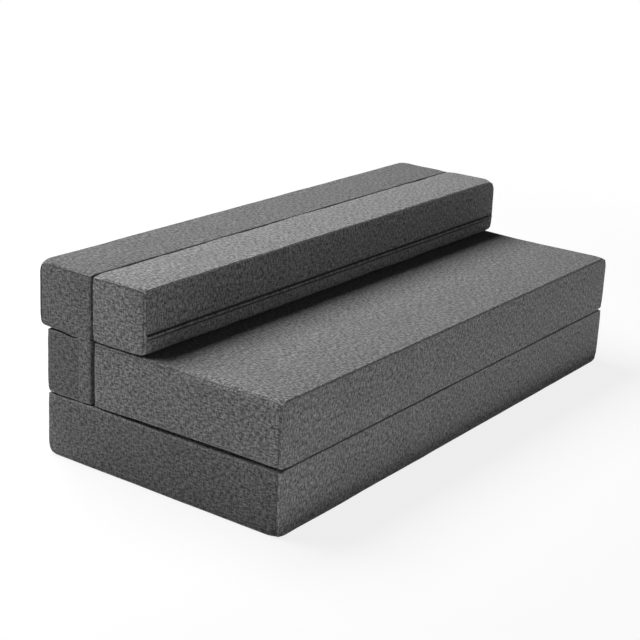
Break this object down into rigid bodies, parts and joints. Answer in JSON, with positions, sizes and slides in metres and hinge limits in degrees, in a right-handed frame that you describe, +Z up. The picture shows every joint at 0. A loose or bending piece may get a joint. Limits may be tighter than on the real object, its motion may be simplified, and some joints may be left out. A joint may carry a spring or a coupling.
{
  "type": "folding mattress",
  "caption": "Folding foam mattress stacked as a low sofa: zipped cloth-covered foam blocks joined by cloth hinges, which unfold flat into a bed.",
  "frame": {"origin": "middle of the footprint of the stacked mattress, on the floor", "axes": "+X along the length to the right end, +Y to the rear, +Z up; the seat's front faces -Y"},
  "size_m": [1.8038, 0.834, 0.5556],
  "materials": {
    "cover_cloth": "matte",
    "end_cloth": "matte",
    "flap_cloth": "matte",
    "hinge_cloth": "matte",
    "tab_cloth": "matte",
    "foam": "matte",
    "zip_tape": "matte",
    "slider_metal": "satin"
  },
  "bodies": {
    "base": {"base_core": "foam", "base_sleeve": "cover_cloth", "base_end_left": "end_cloth", "base_end_right": "end_cloth", "base_zip_flap": "flap_cloth", "base_zip_upper_tape": "zip_tape", "base_zip_lower_tape": "zip_tape", "seat_hinge_strip": "hinge_cloth", "riser_hinge_strip": "hinge_cloth"},
    "seat": {"seat_core": "foam", "seat_sleeve": "cover_cloth", "seat_end_left": "end_cloth", "seat_end_right": "end_cloth", "seat_zip_flap": "flap_cloth", "seat_zip_upper_tape": "zip_tape", "seat_zip_lower_tape": "zip_tape", "front_back_hinge_strip": "hinge_cloth"},
    "front_back": {"front_back_core": "foam", "front_back_sleeve": "cover_cloth", "front_back_end_left": "end_cloth", "front_back_end_right": "end_cloth", "front_back_zip_flap": "flap_cloth", "front_back_zip_upper_tape": "zip_tape", "front_back_zip_lower_tape": "zip_tape"},
    "riser": {"riser_core": "foam", "riser_sleeve": "cover_cloth", "riser_end_left": "end_cloth", "riser_end_right": "end_cloth", "riser_zip_flap": "flap_cloth", "riser_zip_upper_tape": "zip_tape", "riser_zip_lower_tape": "zip_tape", "rear_back_hinge_strip": "hinge_cloth", "riser_tab_left": "tab_cloth", "riser_tab_right": "tab_cloth"},
    "rear_back": {"rear_back_core": "foam", "rear_back_sleeve": "cover_cloth", "rear_back_end_left": "end_cloth", "rear_back_end_right": "end_cloth", "rear_back_zip_flap": "flap_cloth", "rear_back_zip_upper_tape": "zip_tape", "rear_back_zip_lower_tape": "zip_tape"},
    "base_zip_slider": {"base_zip_slider": "slider_metal"},
    "seat_zip_slider": {"seat_zip_slider": "slider_metal"},
    "front_back_zip_slider": {"front_back_zip_slider": "slider_metal"},
    "riser_zip_slider": {"riser_zip_slider": "slider_metal"},
    "rear_back_zip_slider": {"rear_back_zip_slider": "slider_metal"}
  },
  "joints": [
    {"name": "seat_fold", "type": "hinge", "parent": "base", "child": "seat", "pos_m": [0, -0.4172, 0.18515], "axis": [1, 0, 0], "range_deg": [0, 180], "deforming": ["seat_hinge_strip"]},
    {"name": "front_back_fold", "type": "hinge", "parent": "seat", "child": "front_back", "pos_m": [0, 0.2232, 0.37045], "axis": [1, 0, 0], "range_deg": [-180, 0], "deforming": ["front_back_hinge_strip"]},
    {"name": "riser_fold", "type": "hinge", "parent": "base", "child": "riser", "pos_m": [0, 0.3952, 0.18515], "axis": [-1, 0, 0], "range_deg": [0, 180], "deforming": ["riser_hinge_strip"]},
    {"name": "rear_back_fold", "type": "hinge", "parent": "riser", "child": "rear_back", "pos_m": [0, 0.2268, 0.37045], "axis": [-1, 0, 0], "range_deg": [-180, 0], "deforming": ["rear_back_hinge_strip"]},
    {"name": "base_zip_slide", "type": "slide", "parent": "base", "child": "base_zip_slider", "axis": [-1, 0, 0], "range_m": [0, 1.75], "deforming": ["base_zip_upper_tape", "base_zip_lower_tape"]},
    {"name": "seat_zip_slide", "type": "slide", "parent": "seat", "child": "seat_zip_slider", "axis": [-1, 0, 0], "range_m": [0, 1.75], "deforming": ["seat_zip_upper_tape", "seat_zip_lower_tape"]},
    {"name": "front_back_zip_slide", "type": "slide", "parent": "front_back", "child": "front_back_zip_slider", "axis": [-1, 0, 0], "range_m": [0, 1.75], "deforming": ["front_back_zip_upper_tape", "front_back_zip_lower_tape"]},
    {"name": "riser_zip_slide", "type": "slide", "parent": "riser", "child": "riser_zip_slider", "axis": [-1, 0, 0], "range_m": [0, 1.75], "deforming": ["riser_zip_upper_tape", "riser_zip_lower_tape"]},
    {"name": "rear_back_zip_slide", "type": "slide", "parent": "rear_back", "child": "rear_back_zip_slider", "axis": [-1, 0, 0], "range_m": [0, 1.75], "deforming": ["rear_back_zip_upper_tape", "rear_back_zip_lower_tape"]}
  ],
  "couplings": [
    {"joint": "front_back_fold", "follows": "seat_fold", "ratio": -1},
    {"joint": "rear_back_fold", "follows": "riser_fold", "ratio": -1}
  ]
}
